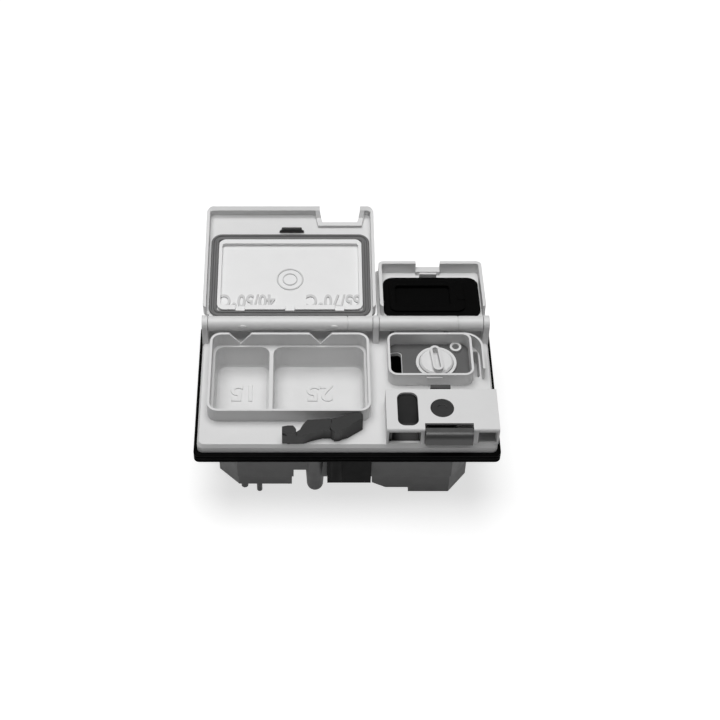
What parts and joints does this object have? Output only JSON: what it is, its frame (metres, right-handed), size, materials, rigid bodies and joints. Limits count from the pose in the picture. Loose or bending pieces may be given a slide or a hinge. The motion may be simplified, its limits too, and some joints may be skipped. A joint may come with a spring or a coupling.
{
  "type": "dishwasher_detergent_dispenser",
  "caption": "Dishwasher detergent and rinse aid dispenser with both lids open: two-part detergent cup, rinse aid well with dosing dial, latch lever, cover with release button, gasket and back parts.",
  "frame": {"origin": "centre of the door seat, the underside of the door gasket", "axes": "+X along the hinge towards the rinse aid side, +Y from the front edge to the hinge, +Z out of the door"},
  "size_m": [0.162, 0.158, 0.0798],
  "materials": {
    "housing_pp": "satin",
    "clear_grey_pp": "satin",
    "mid_grey_pp": "satin",
    "dark_pp": "satin",
    "black_pp": "satin",
    "smoked_pc": "gloss",
    "black_rubber": "matte",
    "grey_rubber": "matte",
    "stainless": "satin",
    "spring_steel": "satin",
    "yoke_steel": "satin",
    "copper_wire": "gloss",
    "terminal_brass": "satin"
  },
  "bodies": {
    "housing": {"front_housing": "housing_pp", "well_plate": "mid_grey_pp", "door_gasket": "black_rubber", "detergent_hinge_pin": "stainless", "detergent_lid_spring": "spring_steel", "rinse_hinge_pin": "stainless", "rinse_lid_spring": "spring_steel", "latch_cover": "housing_pp", "vent_duct": "dark_pp", "button_spring": "spring_steel", "level_prism": "smoked_pc", "valve_spring": "spring_steel", "rinse_tank": "dark_pp", "tank_seal": "black_rubber", "mechanism_case": "dark_pp", "crank_cover": "black_pp", "coil_bobbin": "clear_grey_pp", "coil_winding": "copper_wire", "coil_frame": "yoke_steel", "coil_terminals": "terminal_brass", "housing_screws": "stainless"},
    "big_lid": {"detergent_lid": "housing_pp", "seal_frame": "clear_grey_pp", "detergent_lid_seal": "grey_rubber", "lid_catch": "dark_pp"},
    "small_lid": {"rinse_lid": "housing_pp", "rinse_lid_seal": "black_rubber"},
    "lever": {"latch_lever": "dark_pp", "lever_spindle": "stainless", "spindle_seal": "black_rubber"},
    "link": {"armature": "yoke_steel", "pull_link": "clear_grey_pp"},
    "button": {"release_button": "dark_pp"},
    "dial": {"dose_dial": "housing_pp", "dial_seal": "black_rubber"},
    "valve": {"dosing_valve": "housing_pp", "valve_seal": "black_rubber"}
  },
  "joints": [
    {"name": "detergent_lid_hinge", "type": "hinge", "parent": "housing", "child": "big_lid", "pos_m": [-0.03, 0.033, 0.0223], "axis": [1, 0, 0], "range_deg": [0, 173], "stiffness_Nm_per_rad": 0.01},
    {"name": "rinse_lid_hinge", "type": "hinge", "parent": "housing", "child": "small_lid", "pos_m": [0.047, 0.033, 0.0223], "axis": [1, 0, 0], "range_deg": [0, 184.5], "stiffness_Nm_per_rad": 0.005},
    {"name": "lever_pivot", "type": "hinge", "parent": "housing", "child": "lever", "pos_m": [-0.0055, -0.0375, 0.016], "axis": [0, 0, 1], "range_deg": [-13.3, 0]},
    {"name": "armature_slide", "type": "slide", "parent": "housing", "child": "link", "axis": [1, 0, 0], "range_m": [0, 0.00306]},
    {"name": "button_rock", "type": "hinge", "parent": "housing", "child": "button", "pos_m": [0.0497, -0.0283, 0.018], "axis": [1, 0, 0], "range_deg": [0, 5], "stiffness_Nm_per_rad": 0.2, "deforming": ["button_spring"]},
    {"name": "dial_turn", "type": "hinge", "parent": "housing", "child": "dial", "pos_m": [0.0494, 0.0124, 0.013], "axis": [0, 0, 1], "range_deg": [-100, 100]},
    {"name": "valve_slide", "type": "slide", "parent": "housing", "child": "valve", "axis": [0, 0, -1], "range_m": [0, 0.0025], "stiffness_N_per_m": 200, "deforming": ["valve_spring"]}
  ],
  "couplings": [
    {"joint": "lever_pivot", "follows": "armature_slide", "rad_per_m": -74.07}
  ]
}
